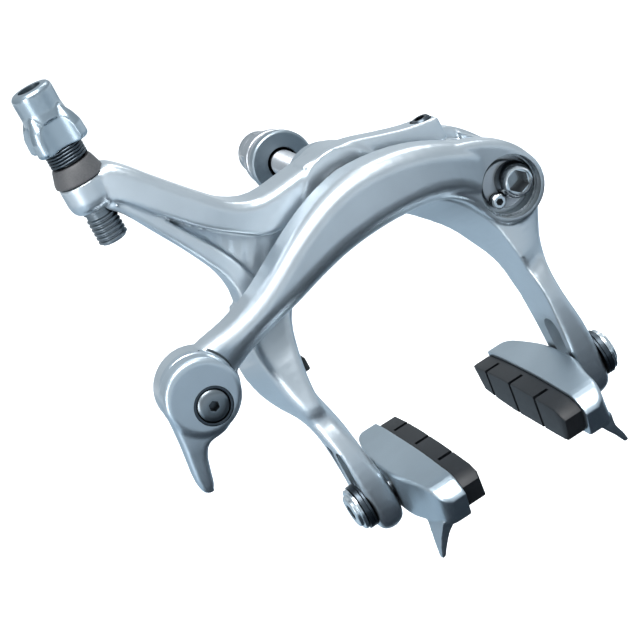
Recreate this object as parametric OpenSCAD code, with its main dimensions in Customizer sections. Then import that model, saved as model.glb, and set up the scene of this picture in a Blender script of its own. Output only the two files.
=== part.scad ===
// Dual-pivot rim brake caliper for a road bicycle, held by one centre bolt.
// Frame: X to the right seen from the front, Y to the back (towards the fork), Z up.
// Origin: on the centre bolt's axis, in the rear face of the arm bracket.

/* [Centre bolt] */
// Thread diameter of the centre bolt
centre_bolt_d = 6; // [5.9:0.05:6]
// How far the centre bolt stands out behind the bracket
centre_bolt_reach = 48.6; // [48:0.2:52]
// Outer diameter of the crown washer
crown_washer_d = 14.8; // [13:0.2:16]

/* [Side pivot] */
// Side pivot, sideways from the centre bolt
pivot_x = 30; // [29.5:0.1:30.5]
// Side pivot, below the centre bolt
pivot_drop = 16; // [15.5:0.1:16.5]
// Outer radius of the ring round the side pivot's recess
pivot_ring_r = 7.5; // [7.2:0.05:7.6]

/* [Pads] */
// Pad bolt below the centre bolt, at the bottom of the slot
reach = 60; // [59.5:0.1:60.5]
// Height that the pad bolt can be raised in the slot
slot_travel = 10; // [6:0.5:10]
// Open gap between the two rubber blocks
pad_gap = 21; // [20:0.5:24]
// Length of one rubber block
pad_length = 49; // [48:0.5:51]

/* [Barrel adjuster] */
// Adjuster axis, sideways from the centre bolt
adjuster_x = -47.2; // [-47.5:0.1:-46.7]
// Thread diameter of the adjusting barrel
adjuster_thread_d = 6.6; // [6:0.1:7]
// Bore for the cable housing's end in the knob
housing_bore_d = 5.2; // [5:0.1:5.6]

/* [Quick release] */
// Radius of the quick-release lever's disc
lever_disc_r = 8.4; // [8.2:0.1:8.8]
// Thickness of the quick-release lever
lever_t = 5; // [4:0.5:5.5]

/* [Hidden] */
$fn = 64;

// Small play between parts that turn or slide on each other
run = 0.05;

pivot_z = -pivot_drop;
pad_z = -reach;
pad_y = -22;
leg_in = 24;
leg_out = 30.3;
slot_w = 6.4;

// Depth of each layer, front face (smaller) and rear face (larger)
bracket_t = 4.5;
hub_y0 = -16;
hub_y1 = -5.2;
arch_y0 = -29;
arch_y1 = -18.5;
boss_y0 = -24;
boss_y1 = -5;
hub_r = 9.5;
boss_r = 8;
recess_r = 5.8;
recess_floor_y = -19.5;

anchor_x = -49.7;
anchor_z = -19;
disc_x = -50.6;
disc_z = -16.4;
plate_x = disc_x + 0.6;
lever_y0 = -33;
lever_y1 = lever_y0 + lever_t;
anchor_boss_y0 = -24.6;
anchor_boss_y1 = -17.5;
anchor_boss_x = -49.3;
anchor_boss_z = -17.8;
anchor_boss_r = 8.7;

adjuster_y = -9;
barrel_z0 = 15.6;
adjuster_boss_z0 = 23.4;
adjuster_boss_z1 = 30.3;
seat_top_z = 34.5;
knob_z0 = 38.6;
knob_z1 = 52;

screw_x = 22.3;
screw_y = -12;
screw_r = 1.5;
screw_tip_z = -5.2;
tail_top_z = 2.9;
cam_top_z = -5.6;
cam_t = 1;

// The pivot bolt's head and its lock screw both sit off the pivot's axis
head_x = pivot_x + 1.9;
head_r = 3.6;
lock_x = pivot_x - 3.1;
lock_z = pivot_z - 1.6;
lock_r = 1.6;

// Nylon sliders on the backs of the legs
slider_z0 = -32;
slider_h = 4;
slider_y0 = -12;
slider_y1 = -6.5;
slider_out = 31;
slider_in = 25;
nub_in = 24.3;

crown_washer_y = 28.5;
crown_washer_t = 3.2;
spacer_t = 4.4;

// ---- shared shapes ----

// Carries a front-view drawing (x, z) through the depth from y0 to y1
module slab(y0, y1) {
    translate([0, y1, 0])
        rotate([90, 0, 0])
            linear_extrude(y1 - y0)
                children();
}

// Carries a side-view drawing (y, z) through the width from x0 to x1
module across(x0, x1) {
    translate([x0, 0, 0])
        rotate([90, 0, 90])
            linear_extrude(x1 - x0)
                children();
}

// A round bar or hole along Y
module bar_y(x, z, y0, y1, r) {
    translate([x, y1, z])
        rotate([90, 0, 0])
            cylinder(h = y1 - y0, r = r);
}

// A round bar or hole along X
module bar_x(y, z, x0, x1, r) {
    translate([x0, y, z])
        rotate([0, 90, 0])
            cylinder(h = x1 - x0, r = r);
}

// A hexagonal socket or nut along Y, with its size across the corners' radius
module hex_y(x, z, y0, y1, r) {
    translate([x, y1, z])
        rotate([90, 0, 0])
            cylinder(h = y1 - y0, r = r, $fn = 6);
}

// A ring along Y
module ring_y(x, z, y0, y1, r_out, r_in) {
    difference() {
        bar_y(x, z, y0, y1, r_out);
        bar_y(x, z, y0 - 1, y1 + 1, r_in);
    }
}

// ---- fixed frame: bracket, centre bolt and side pivot bolt ----

module arm_bracket() {
    color("#b9c2c9")
    difference() {
        union() {
            bar_y(0, 0, -bracket_t, 0, 8.5);
            bar_y(pivot_x, pivot_z, -bracket_t, 0, 7.6);
            slab(-bracket_t, 0)
                polygon([[4, 7.5], [12, 3], [24, -3], [33.5, -9.2], [25.5, -22.1], [16, -13], [8, -9], [-4, -7.5]]);
        }
        bar_y(0, 0, -bracket_t - 1, 1, centre_bolt_d / 2);
        bar_y(pivot_x, pivot_z, -bracket_t - 1, 1, 3);
    }
}

module centre_bolt() {
    color("#8f979d")
    union() {
        bar_y(0, 0, -17.4, centre_bolt_reach, centre_bolt_d / 2);
        bar_y(0, 0, centre_bolt_reach, centre_bolt_reach + 0.6, centre_bolt_d / 2 - 0.5);
    }
}

module centre_nut() {
    color("#a9b1b7")
    difference() {
        hex_y(0, 0, -18, -16.9, 5);
        bar_y(0, 0, -19, -16, centre_bolt_d / 2);
    }
}

module centre_washer() {
    color("#c3c9ce")
    ring_y(0, 0, -16.9, -16.1, 5.2, centre_bolt_d / 2);
}

module thrust_washer() {
    color("#c3c9ce")
    ring_y(0, 0, -5.1, -bracket_t, 7, centre_bolt_d / 2);
}

module centre_bush() {
    color("#6f5f3d")
    ring_y(0, 0, -15.8, -5.3, 4, centre_bolt_d / 2 + run);
}

// Toothed washer that grips the fork crown
module crown_gripper() {
    color("#b4bbc0")
    difference() {
        union() {
            bar_y(0, 0, 0, 1.2, 6.6);
            for (a = [0 : 20 : 340])
                rotate([0, a, 0])
                    translate([5.2, 1.2, -0.35])
                        cube([1.4, 0.5, 0.7]);
        }
        bar_y(0, 0, -1, 3, centre_bolt_d / 2);
    }
}

// Thick washer with a chamfered rear rim
module crown_washer() {
    color("#aab4bb")
    translate([0, crown_washer_y, 0])
        rotate([-90, 0, 0])
            rotate_extrude()
                polygon([
                    [3.6, 0], [crown_washer_d / 2 - 0.4, 0], [crown_washer_d / 2, 0.4],
                    [crown_washer_d / 2, crown_washer_t - 1], [crown_washer_d / 2 - 1, crown_washer_t],
                    [3.6, crown_washer_t]
                ]);
}

module spacer_washer() {
    color("#c3c9ce")
    ring_y(0, 0, crown_washer_y + crown_washer_t, crown_washer_y + crown_washer_t + spacer_t, 6.2, 3.2);
}

// Hexagonal nut with a flange in front and a round locking collar behind
module lock_nut() {
    nut_y0 = crown_washer_y + crown_washer_t + spacer_t;
    color("#aab4bb")
    difference() {
        union() {
            bar_y(0, 0, nut_y0, nut_y0 + 1.6, 6.6);
            hex_y(0, 0, nut_y0 + 1.6, nut_y0 + 8, 5.75);
            bar_y(0, 0, nut_y0 + 8, nut_y0 + 12, 5);
            bar_y(0, 0, nut_y0 + 12, nut_y0 + 13.2, 4.4);
        }
        bar_y(0, 0, nut_y0 - 1, nut_y0 + 14, centre_bolt_d / 2);
    }
}

// Shouldered bolt of the side pivot, with a hexagonal socket
module pivot_bolt() {
    color("#d5dade")
    difference() {
        union() {
            bar_y(pivot_x, pivot_z, recess_floor_y + 0.3, -bracket_t, 3.6);
            bar_y(pivot_x, pivot_z, -bracket_t, -0.4, 3);
            bar_y(pivot_x, pivot_z, recess_floor_y - 1.2, recess_floor_y + 0.3, 5.2);
            bar_y(head_x, pivot_z, recess_floor_y - 3, recess_floor_y - 1.2, head_r);
        }
        hex_y(head_x, pivot_z, recess_floor_y - 4, recess_floor_y + 0.2, 2.6);
        bar_y(lock_x, lock_z, recess_floor_y - 4, recess_floor_y - 0.2, lock_r);
    }
}

module pivot_set_screw() {
    color("#aab4bb")
    difference() {
        bar_y(lock_x, lock_z, recess_floor_y - 2.4, recess_floor_y - 0.2, lock_r);
        hex_y(lock_x, lock_z, recess_floor_y - 3, recess_floor_y - 1, 0.8);
    }
}

// Plain bush pressed into the front arm at the side pivot
module pivot_bush() {
    color("#6f5f3d")
    ring_y(pivot_x, pivot_z, recess_floor_y + 0.6, boss_y1, 4.8, 3.6 + run);
}

// Bright ring pressed round the mouth of the recess
module pivot_ring() {
    color("#dfe4e8")
    ring_y(pivot_x, pivot_z, boss_y0 - 0.6, boss_y0 + 2, pivot_ring_r, recess_r);
}

// A flat ring seen along its axis
module ring_2d(r_out, r_in) {
    difference() {
        circle(r_out);
        circle(r_in);
    }
}

// Wire spring that passes under the centre bolt, behind the bracket, and pushes both legs apart.
// Its ends stand behind the lugs of the nylon sliders, clear of them over the whole swing.
module return_spring() {
    wire_r = 0.9;
    wire_y = 1.7 + wire_r;
    bends = [[6, wire_y, -6.2], [19, wire_y, -11], [23.6, wire_y, -24.6], [24.9, -4.4, -30.6]];
    color("#c8cdd1")
    union() {
        slab(wire_y - wire_r, wire_y + wire_r)
            intersection() {
                ring_2d(9.4, 7.6);
                translate([-6.6, -12])
                    square([13.2, 6.8]);
            }
        for (side = [-1, 1], i = [0 : 2])
            hull() {
                translate([side * bends[i][0], bends[i][1], bends[i][2]])
                    sphere(wire_r, $fn = 16);
                translate([side * bends[i + 1][0], bends[i + 1][1], bends[i + 1][2]])
                    sphere(wire_r, $fn = 16);
            }
    }
}

// ---- front arm: from the cable anchor over the tyre to the right pad ----

// Long arch seen from the front
module arch_outline() {
    polygon([
        [-50, -9], [-44, -10.4], [-36.5, -8], [-30.5, -6], [-24, -2.7], [-18.5, 0.3], [-10, 4],
        [-4, 5.6], [2.5, 6], [8.5, 4.9], [15, 3], [21, 0.2], [27, -3], [32, -8.4],
        [30, -20], [24, -18], [20, -12.4], [13, -9.6], [4, -8], [-6.5, -8.1],
        [-12.3, -9.1], [-19, -11], [-26, -13], [-33, -14.9], [-38, -16.8], [-43, -22]
    ]);
}

// Right leg seen from the front
module right_leg_outline() {
    polygon([
        [36.6, -19], [35, -23], [32.4, -28], [30.2, -33], [28.9, -38], [29.2, -44],
        [leg_out, -51], [leg_out, -63], [29, -67], [26.5, -68], [leg_in, -67],
        [leg_in, -43], [23.6, -38], [23.2, -31], [21.5, -25.5], [18.6, -20.8], [14.5, -16],
        [10, -12.5], [20, -9], [30, -9]
    ]);
}

module c_arm() {
    color("#b8c6d0")
    difference() {
        union() {
            // arch, bowed forward
            intersection() {
                slab(arch_y0, arch_y1)
                    arch_outline();
                translate([0, 0, -40])
                    linear_extrude(60)
                        polygon([
                            [-60, -25], [-48, -26], [-34, -28], [-20, -29], [4, -29], [18, -27.5],
                            [28, -24.8], [34, -23.6], [34, -18], [-60, -18]
                        ]);
            }
            // boss round the side pivot
            bar_y(pivot_x, pivot_z, boss_y0, boss_y1, boss_r);
            // shoulder behind the other arm's tail
            slab(-8.2, boss_y1)
                polygon([[26.5, -0.8], [31, -4.6], [34.6, -9.5], [37.2, -14.5], [30, -16], [24, -10], [24, -0.4]]);
            slab(arch_y1 - 0.2, -8.4)
                polygon([[29.4, -3.8], [34.4, -9.2], [37.2, -14.5], [30, -16], [28.8, -8]]);
            // leg, swept back below the boss
            intersection() {
                slab(-27.5, boss_y1)
                    right_leg_outline();
                across(8, 40)
                    polygon([
                        [-23, -8], [-24, -24], [-26, -34], [-27.2, -48], [-27, -68],
                        [-13.8, -68], [-13.2, -48], [-11.5, -32], [-8, -24], [-8, -8]
                    ]);
            }
            // ledge under the cam plate
            slab(-15.2, -8.6)
                polygon([
                    [17.6, cam_top_z - cam_t], [28, cam_top_z - cam_t], [28, -12], [20, -12], [17.6, -9.6]
                ]);
            // boss of the cable anchor
            bar_y(anchor_boss_x, anchor_boss_z, anchor_boss_y0, anchor_boss_y1, anchor_boss_r);
        }
        // recess, and bore for the bush
        bar_y(pivot_x, pivot_z, boss_y0 - 5, recess_floor_y + 0.5, recess_r);
        bar_y(pivot_x, pivot_z, boss_y0 - 5, boss_y0 + 2, pivot_ring_r);
        bar_y(pivot_x, pivot_z, boss_y0 - 1, boss_y1 + 1, 4.8);
        // room for the head of the centre bolt
        bar_y(0, 0, arch_y1 - 0.8, arch_y1 + 1, 7.4);
        // flat seat behind the anchor plate, and the anchor's bore
        bar_y(plate_x, disc_z, arch_y0 - 5, anchor_boss_y0, lever_disc_r + 0.2);
        bar_y(anchor_x, anchor_z, anchor_boss_y0 - 1, anchor_boss_y1 + 1, 3);
        slider_pocket(1, slider_in);
        pad_slot(1);
    }
}

// Hardened plate that the centring screw bears on
module cam_plate() {
    color("#c9d0d5")
    difference() {
        translate([17.6, -15, cam_top_z - cam_t])
            cube([8, 6, cam_t]);
        bar_y(pivot_x, pivot_z, -20, 0, boss_r);
    }
}

// Vertical slot for a pad bolt, through the leg on one side (1 right, -1 left)
module pad_slot(side) {
    x_middle = side * (leg_in + leg_out) / 2;
    union() {
        bar_x(pad_y, pad_z, x_middle - 6, x_middle + 6, slot_w / 2);
        bar_x(pad_y, pad_z + slot_travel, x_middle - 6, x_middle + 6, slot_w / 2);
        translate([x_middle - 6, pad_y - slot_w / 2, pad_z])
            cube([12, slot_w, slot_travel]);
    }
}

// Nylon block let into the back of a leg, with a lug at its outer end that the spring pushes
module spring_slider(side, inner) {
    color("#1b1d1f")
    on_side(side)
        union() {
            translate([inner, slider_y0, slider_z0])
                cube([slider_out - inner, slider_y1 - slider_y0, slider_h]);
            translate([slider_out - 1.7, slider_y0, slider_z0])
                cube([1.7, slider_y1 - slider_y0 + 3.8, slider_h]);
        }
}

// Pocket for that block, open to the back
module slider_pocket(side, inner) {
    on_side(side)
        translate([inner - run, slider_y0, slider_z0 - run])
            cube([slider_out - inner + 2 * run, 20, slider_h + 2 * run]);
}

module right_spring_slider() {
    spring_slider(1, slider_in);
}

// ---- quick release and cable anchor ----

module cable_anchor_bolt() {
    color("#7b858c")
    difference() {
        union() {
            bar_y(anchor_x, anchor_z, lever_y0 - 0.2, lever_y0 + 2, 3.6);
            bar_y(anchor_x, anchor_z, lever_y0 + 2, anchor_boss_y1 + 3, 2.9);
        }
        hex_y(anchor_x, anchor_z, lever_y0 - 1, lever_y0 + 1.4, 1.6);
    }
}

module cable_anchor_plate() {
    color("#b8c6d0")
    difference() {
        bar_y(plate_x, disc_z, lever_y1 + 0.2, anchor_boss_y0 - 0.1, lever_disc_r - 0.2);
        bar_y(anchor_x, anchor_z, lever_y1 - 1, anchor_boss_y0 + 1, 2.9);
        // groove that the inner cable is clamped in
        translate([anchor_x + 3.2, anchor_boss_y0 - 0.9, -40])
            cylinder(h = 40, r = 0.9);
    }
}

module cable_anchor_nut() {
    color("#a9b1b7")
    difference() {
        hex_y(anchor_x, anchor_z, anchor_boss_y1 + 0.1, anchor_boss_y1 + 4, 5.2);
        bar_y(anchor_x, anchor_z, anchor_boss_y1 - 1, anchor_boss_y1 + 5, 2.9);
    }
}

module quick_release_lever() {
    color("#a7bccb")
    difference() {
        union() {
            bar_y(disc_x, disc_z, lever_y0, lever_y1, lever_disc_r);
            slab(lever_y0 + 0.6, lever_y1 - 0.6)
                polygon([
                    [-58.9, -15], [-59.2, -20], [-59.8, -25], [-60.6, -30], [-60.6, -33.4], [-59.6, -35],
                    [-58.1, -35.3], [-57.3, -34.2], [-56.8, -31.5], [-55.8, -27.8], [-54.2, -25.6],
                    [-51.6, -24.6], [-46.2, -23]
                ]);
        }
        bar_y(anchor_x, anchor_z, lever_y0 - 1, lever_y0 + 2.2, 4.3);
        bar_y(anchor_x, anchor_z, lever_y0, lever_y1 + 1, 2.9 + run);
    }
}

// Dark washer round the head of the anchor bolt
module quick_release_ring() {
    color("#2b2f33")
    ring_y(anchor_x, anchor_z, lever_y0 + 0.2, lever_y0 + 2.1, 4.2, 3.6);
}

// ---- rear arm: from the barrel adjuster over the centre bolt to the left pad ----

// Hub, tail and branch seen from the front
module branch_outline() {
    polygon([
        [-45, 28.5], [-42.2, 28.9], [-41.2, 30.2], [-38.6, 27.2], [-34.4, 20.8], [-27.4, 13.2], [-22.8, 9.8], [-17, 7.8],
        [-8, 8.2], [-2, 9.4], [6, 8.3], [11.5, 6.3], [18.5, 4], [20, -3.2], [9, -4.5], [0, -9.4],
        [-18, -16], [-32, -14], [-31, -8], [-31.6, -3], [-33.6, 1.6], [-39.5, 12.8], [-43.5, 20], [-46, 23.4]
    ]);
}

// Left leg seen from the front
module left_leg_outline() {
    polygon([
        [-31.2, -6], [-33.8, -14], [-37.2, -21], [-38, -26], [-37, -30.5], [-34.4, -36], [-31.8, -41.5],
        [-leg_out, -44.2], [-leg_out, -63], [-29, -67], [-26.5, -68], [-leg_in, -67], [-leg_in, -48],
        [-25.2, -41.5], [-26.4, -36], [-26, -30], [-24, -24], [-21.5, -18.6], [-18, -13.5], [-12, -8]
    ]);
}

module y_arm() {
    color("#b8c6d0")
    difference() {
        union() {
            bar_y(0, 0, hub_y0, hub_y1, hub_r);
            // branch to the adjuster, thicker along its upper rib
            slab(-13.5, hub_y1)
                branch_outline();
            slab(-15.8, hub_y1)
                polygon([
                    [-42.6, 24.6], [-42.2, 28.9], [-41.2, 30.2], [-38.6, 27.2], [-34.4, 20.8], [-27.4, 13.2], [-22.8, 9.8],
                    [-17, 7.8], [-8, 8.2], [0, 9.4], [0, 2], [-17.6, -0.5], [-23, 3], [-29.5, 8.6], [-37, 17.4]
                ]);
            // tail with the centring screw's boss
            slab(-15.4, -8.7)
                polygon([[0, 9.4], [6, 8.3], [11.5, 6.3], [18.5, 4], [21, tail_top_z], [21, -3.6], [9, -4.5], [0, -6]]);
            translate([screw_x, screw_y, -3.6])
                cylinder(h = tail_top_z + 3.6, r = 3);
            // boss of the barrel adjuster
            translate([adjuster_x, adjuster_y, adjuster_boss_z0])
                cylinder(h = adjuster_boss_z1 - adjuster_boss_z0, r = 4.9);
            // leg, swept forward below the front arm
            intersection() {
                slab(-27.5, hub_y1)
                    left_leg_outline();
                across(-40, -10)
                    polygon([
                        [-15.8, -4], [-15.8, -19.5], [-20, -25], [-23.5, -31], [-26, -40], [-27.2, -50],
                        [-27, -68], [-13.8, -68], [-13.4, -50], [-11.5, -38], [-7.5, -26], [-5.4, -16], [-5.4, -4]
                    ]);
            }
        }
        bar_y(0, 0, hub_y0 - 1, hub_y1 + 1, 4);
        translate([screw_x, screw_y, -10])
            cylinder(h = 20, r = screw_r + run);
        translate([screw_x, screw_y, tail_top_z - 2])
            cylinder(h = 4, r = 2.4);
        translate([adjuster_x, adjuster_y, barrel_z0 - 1])
            cylinder(h = adjuster_boss_z1 - barrel_z0 + 2, r = adjuster_thread_d / 2 + run);
        slider_pocket(-1, nub_in);
        pad_slot(-1);
    }
}

// Vertical screw with a socket head, its tip just above the cam plate
module centring_screw() {
    color("#7b858c")
    translate([screw_x, screw_y, 0])
        difference() {
            union() {
                translate([0, 0, screw_tip_z])
                    cylinder(h = tail_top_z - 1.6 - screw_tip_z, r = screw_r);
                translate([0, 0, tail_top_z - 1.9])
                    cylinder(h = 2.2, r = 2.2);
            }
            translate([0, 0, tail_top_z - 1.2])
                cylinder(h = 3, r = 1.2, $fn = 6);
        }
}

module left_spring_slider() {
    spring_slider(-1, nub_in);
}

// ---- barrel adjuster ----

// Tapered seat under the spring
module adjuster_seat() {
    color("#3e4448")
    translate([adjuster_x, adjuster_y, adjuster_boss_z1])
        rotate_extrude()
            polygon([
                [adjuster_thread_d / 2 + run, 0], [5.3, 0], [5.5, 0.8], [4.5, seat_top_z - adjuster_boss_z1],
                [adjuster_thread_d / 2 + run, seat_top_z - adjuster_boss_z1]
            ]);
}

// Coil spring between the seat and the knob
module adjuster_spring() {
    turns = 5;
    coil_r = 3.95;
    wire_r = 0.32;
    steps = 20;
    pitch = (knob_z0 - seat_top_z - 2 * wire_r - 0.06) / turns;
    sides = 6;
    n = turns * steps;
    ring_points = [
        for (i = [0 : n], k = [0 : sides - 1])
            let (a = 360 * i / steps, b = 360 * k / sides, r = coil_r + wire_r * cos(b))
                [r * cos(a), r * sin(a), pitch * i / steps + wire_r * sin(b)]
    ];
    side_faces = [
        for (i = [0 : n - 1], k = [0 : sides - 1])
            let (j = (k + 1) % sides)
                [i * sides + k, (i + 1) * sides + k, (i + 1) * sides + j, i * sides + j]
    ];
    start_face = [for (k = [0 : sides - 1]) k];
    end_face = [for (k = [sides - 1 : -1 : 0]) n * sides + k];
    color("#4a5054")
    translate([adjuster_x, adjuster_y, seat_top_z + wire_r + 0.03])
        polyhedron(points = ring_points, faces = concat(side_faces, [start_face, end_face]));
}

// Hollow threaded barrel that the knob turns
module adjuster_barrel() {
    thread_h = 1;
    color("#8f979d")
    difference() {
        union() {
            translate([adjuster_x, adjuster_y, barrel_z0])
                cylinder(h = knob_z0 - barrel_z0, r = adjuster_thread_d / 2 - 0.35);
            for (i = [0 : 5])
                translate([adjuster_x, adjuster_y, barrel_z0 + 0.3 + i * thread_h])
                    cylinder(h = thread_h / 2, r = adjuster_thread_d / 2);
            translate([adjuster_x, adjuster_y, adjuster_boss_z0 + 0.2])
                cylinder(h = adjuster_boss_z1 - adjuster_boss_z0, r = adjuster_thread_d / 2);
        }
        translate([adjuster_x, adjuster_y, 14])
            cylinder(h = 30, r = 1.4);
    }
}

// Knob with four wings below a bevelled barrel
module adjuster_knob() {
    wing_top = knob_z0 + 7.2;
    color("#a9b9c4")
    translate([adjuster_x, adjuster_y, 0])
        difference() {
            union() {
                translate([0, 0, knob_z0])
                    cylinder(h = knob_z1 - 0.8 - knob_z0, r = 4.5);
                translate([0, 0, knob_z1 - 0.9])
                    cylinder(h = 0.9, r = 4);
                for (a = [45 : 90 : 315])
                    rotate([0, 0, a])
                        translate([4.6, 0, knob_z0])
                            cylinder(h = wing_top - knob_z0, r = 2.3);
            }
            translate([0, 0, knob_z1 - 9])
                cylinder(h = 10, r = housing_bore_d / 2);
            translate([0, 0, knob_z0 - 1])
                cylinder(h = 20, r = 1.4);
        }
}

// ---- brake pads; side is 1 on the right and -1 on the left ----

// Turns a right-hand part into a left-hand one
module on_side(side) {
    mirror([side < 0 ? 1 : 0, 0, 0])
        children();
}

module pad_bolt(side) {
    color("#c3ccd2")
    on_side(side)
        difference() {
            union() {
                bar_x(pad_y, pad_z, 18.6, leg_out + 1.8, 2.5);
                bar_x(pad_y, pad_z, leg_out + 1.8, leg_out + 2.8, 4.8);
                bar_x(pad_y, pad_z, leg_out + 2.8, leg_out + 3.6, 4.2);
            }
            translate([leg_out + 1.6, pad_y, pad_z])
                rotate([0, 90, 0])
                    cylinder(h = 4, r = 2, $fn = 6);
        }
}

module pad_washer(side) {
    color("#3b4146")
    on_side(side)
        difference() {
            bar_x(pad_y, pad_z, leg_out + 0.1, leg_out + 1.8, 5.2);
            bar_x(pad_y, pad_z, leg_out, leg_out + 4, 2.5);
        }
}

// Metal holder with the wheel guide fin at its lower front
module shoe(side) {
    block_x = pad_gap / 2 + 4.7;
    back_x = leg_in - 0.15;
    front_y = pad_y - pad_length / 2;
    rear_y = pad_y + pad_length / 2;
    color("#9fb1bd")
    on_side(side)
        difference() {
            union() {
                intersection() {
                    translate([0, 0, pad_z - 6])
                        linear_extrude(12)
                            polygon([
                                [block_x, front_y - 1], [block_x + 3, front_y - 1.6], [block_x + 6, front_y + 1.5],
                                [block_x + 6.8, front_y + 8], [back_x, pad_y - 6], [back_x, pad_y + 6],
                                [block_x + 6.4, rear_y - 10], [block_x + 4.6, rear_y - 3], [block_x + 2, rear_y],
                                [block_x, rear_y]
                            ]);
                    across(0, 40)
                        polygon([
                            [front_y - 2, pad_z - 4], [front_y - 2, pad_z + 0.5], [front_y + 2, pad_z + 4.4],
                            [pad_y - 8, pad_z + 5.6], [pad_y + 8, pad_z + 5.6], [rear_y, pad_z + 3.6],
                            [rear_y, pad_z - 2], [pad_y + 10, pad_z - 5], [pad_y, pad_z - 6], [pad_y - 14, pad_z - 6],
                            [front_y + 4, pad_z - 5.6]
                        ]);
                }
                // fin that guides the rim in
                hull() {
                    translate([block_x + 2, pad_y - 22, pad_z - 5])
                        cube([4, 15, 1]);
                    translate([22.9, pad_y - 19, pad_z - 12.8])
                        cube([0.8, 1.4, 0.5]);
                }
            }
            bar_x(pad_y, pad_z, 18.4, 40, 2.5);
        }
}

// Rubber block with three slanting grooves
module pad(side) {
    face_x = pad_gap / 2;
    block_x = face_x + 4.6;
    front_y = pad_y - pad_length / 2;
    rear_y = pad_y + pad_length / 2;
    groove = 0.7;
    groove_gap = 13.5;
    color("#20262d")
    on_side(side)
        difference() {
            intersection() {
                translate([0, 0, pad_z - 5])
                    linear_extrude(10)
                        polygon([
                            [face_x, front_y + 4], [face_x + 2.4, front_y + 0.6], [block_x, front_y],
                            [block_x, rear_y], [face_x + 1.2, rear_y], [face_x, rear_y - 1]
                        ]);
                across(0, 40)
                    polygon([
                        [front_y, pad_z - 2.5], [front_y, pad_z + 0.5], [front_y + 3, pad_z + 3.6],
                        [pad_y - 8, pad_z + 4.6], [pad_y + 8, pad_z + 4.6], [rear_y, pad_z + 2.6],
                        [rear_y, pad_z - 2.4], [pad_y + 10, pad_z - 4.2], [pad_y - 10, pad_z - 4.6],
                        [front_y + 4, pad_z - 4.6]
                    ]);
            }
            for (i = [0 : 2])
                translate([face_x + 0.9, rear_y - 7.5 - i * groove_gap, pad_z])
                    rotate([22, 0, 0])
                        cube([1.8 + groove, groove, 14], center = true);
        }
}

module left_pad_bolt() pad_bolt(-1);
module left_pad_washer() pad_washer(-1);
module left_shoe() shoe(-1);
module left_pad() pad(-1);
module right_pad_bolt() pad_bolt(1);
module right_pad_washer() pad_washer(1);
module right_shoe() shoe(1);
module right_pad() pad(1);

arm_bracket();
centre_bolt();
centre_nut();
centre_washer();
thrust_washer();
centre_bush();
crown_gripper();
crown_washer();
spacer_washer();
lock_nut();
pivot_bolt();
pivot_set_screw();
pivot_bush();
pivot_ring();
return_spring();
c_arm();
cam_plate();
right_spring_slider();
cable_anchor_bolt();
cable_anchor_plate();
cable_anchor_nut();
quick_release_lever();
quick_release_ring();
y_arm();
centring_screw();
left_spring_slider();
adjuster_seat();
adjuster_spring();
adjuster_barrel();
adjuster_knob();
left_pad_bolt();
left_pad_washer();
left_shoe();
left_pad();
right_pad_bolt();
right_pad_washer();
right_shoe();
right_pad();
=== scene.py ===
# Dual-pivot rim brake caliper: the looks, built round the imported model.
# Lengths are millimetres in the lists and are turned to metres as each mesh is made.
import math

import bmesh
import bpy
from mathutils import Matrix, Vector


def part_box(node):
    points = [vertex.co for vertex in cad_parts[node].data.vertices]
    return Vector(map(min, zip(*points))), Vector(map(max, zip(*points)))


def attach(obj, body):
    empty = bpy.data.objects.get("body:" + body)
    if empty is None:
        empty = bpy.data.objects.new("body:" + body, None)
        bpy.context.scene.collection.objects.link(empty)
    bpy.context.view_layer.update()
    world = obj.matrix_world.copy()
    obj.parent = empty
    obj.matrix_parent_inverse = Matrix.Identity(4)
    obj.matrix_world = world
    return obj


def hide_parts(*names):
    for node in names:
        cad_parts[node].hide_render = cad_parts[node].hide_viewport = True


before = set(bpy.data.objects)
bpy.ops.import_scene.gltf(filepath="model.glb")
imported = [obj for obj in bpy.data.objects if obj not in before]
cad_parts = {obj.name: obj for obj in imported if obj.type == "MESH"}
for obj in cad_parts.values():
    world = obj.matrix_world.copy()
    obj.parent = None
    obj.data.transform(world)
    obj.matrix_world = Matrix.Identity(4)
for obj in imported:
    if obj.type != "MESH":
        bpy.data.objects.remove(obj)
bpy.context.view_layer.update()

MM = 0.001

# ---- camera ----
# A long lens, a little over half a metre off, from the front left and a little above. It is rolled, so
# that the caliper leans to the right in the view.
LENS_MM = 143.03
SENSOR_MM = 36
camera_data = bpy.data.cameras.new("camera")
camera = bpy.data.objects.new("camera", camera_data)
bpy.context.scene.collection.objects.link(camera)
camera_data.sensor_width = SENSOR_MM
camera_data.lens = LENS_MM
# Columns: the camera's right, its up, away from what it sees, and where it stands, in metres.
camera.matrix_world = Matrix((
    (0.8324, 0.5250, -0.1776, -0.11464),
    (-0.3163, 0.1868, -0.9301, -0.51921),
    (-0.4552, 0.8303, 0.3215, 0.15258),
    (0, 0, 0, 1),
))
bpy.context.scene.camera = camera
bpy.context.scene.view_settings.view_transform = "Standard"


# ---- studio: pale floor and soft light ----
# A matt white paper sweep lies well under the caliper. A large soft box over it draws the long highlights
# on the metal, two smaller ones fill the left side and light the back edges, and the sky is a cool grey.
def nothing_selected():
    for thing in bpy.context.selected_objects:
        thing.select_set(False)


def linear(code):
    """An sRGB hex colour as linear red, green, blue and alpha."""
    parts = [int(code[i:i + 2], 16) / 255 for i in (1, 3, 5)]
    return [*(c / 12.92 if c <= 0.04045 else ((c + 0.055) / 1.055) ** 2.4 for c in parts), 1.0]


def add_node(tree, kind, settings=None, links=None):
    """Adds one node, with its settings by name and its links by input name."""
    node = tree.nodes.new(kind)
    for name, value in (settings or {}).items():
        if name in node.inputs:
            node.inputs[name].default_value = value
        else:
            setattr(node, name, value)
    for name, source in (links or {}).items():
        tree.links.new(source, node.inputs[name])
    return node


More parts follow.
